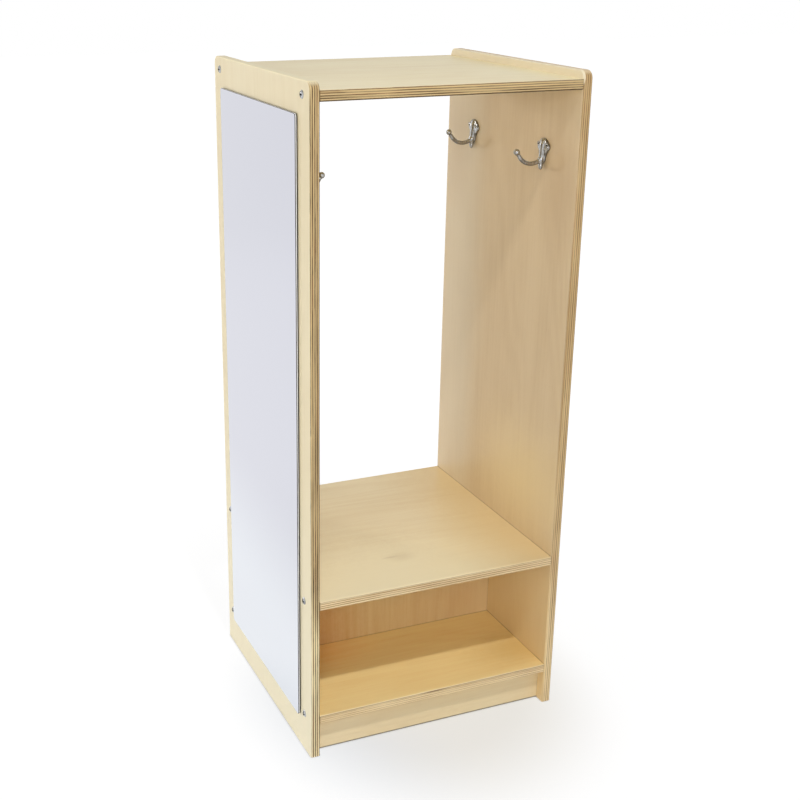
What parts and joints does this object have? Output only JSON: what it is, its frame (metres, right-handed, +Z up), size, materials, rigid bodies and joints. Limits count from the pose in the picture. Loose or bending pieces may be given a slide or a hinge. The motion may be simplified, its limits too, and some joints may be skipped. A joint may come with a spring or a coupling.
{
  "type": "dress up storage unit with mirror",
  "caption": "Open birch plywood wardrobe for children: hanging space with coat hooks over a divided shoe cubby, mirror on one side",
  "frame": {"origin": "on the floor, in the middle of the overall width and depth", "axes": "+Z up; the front faces -Y; the side with the mirror faces -X; the rear, which is open too, faces +Y"},
  "size_m": [0.4369, 0.408, 1.03],
  "materials": {
    "birch_ply": "clear satin lacquer over birch veneer, bare ply layers at the edges",
    "beech_dowel": "plain turned beech",
    "mirror": "polished acrylic safety mirror",
    "foam_tape": "dark foam mounting tape",
    "satin_nickel": "cast, tumbled and plated satin nickel",
    "zinc_screw": "bright zinc plate"
  },
  "bodies": {
    "root": {"left_side_panel": "birch_ply", "right_side_panel": "birch_ply", "top_panel": "birch_ply", "middle_shelf": "birch_ply", "bottom_shelf": "birch_ply", "cubby_divider": "birch_ply", "front_kick_board": "birch_ply", "rear_kick_board": "birch_ply", "mirror_sheet": "mirror", "mirror_tape": "foam_tape", "left_front_hook": "satin_nickel", "left_rear_hook": "satin_nickel", "right_front_hook": "satin_nickel", "right_rear_hook": "satin_nickel", "left_front_hook_screws": "zinc_screw", "left_rear_hook_screws": "zinc_screw", "right_front_hook_screws": "zinc_screw", "right_rear_hook_screws": "zinc_screw", "left_top_screws": "zinc_screw", "left_middle_screws": "zinc_screw", "left_bottom_screws": "zinc_screw", "right_top_screws": "zinc_screw", "right_middle_screws": "zinc_screw", "right_bottom_screws": "zinc_screw", "left_top_dowels": "beech_dowel", "left_middle_dowels": "beech_dowel", "left_bottom_dowels": "beech_dowel", "right_top_dowels": "beech_dowel", "right_middle_dowels": "beech_dowel", "right_bottom_dowels": "beech_dowel", "divider_dowels": "beech_dowel", "divider_screws": "zinc_screw", "front_kick_dowels": "beech_dowel", "rear_kick_dowels": "beech_dowel"}
  },
  "joints": []
}
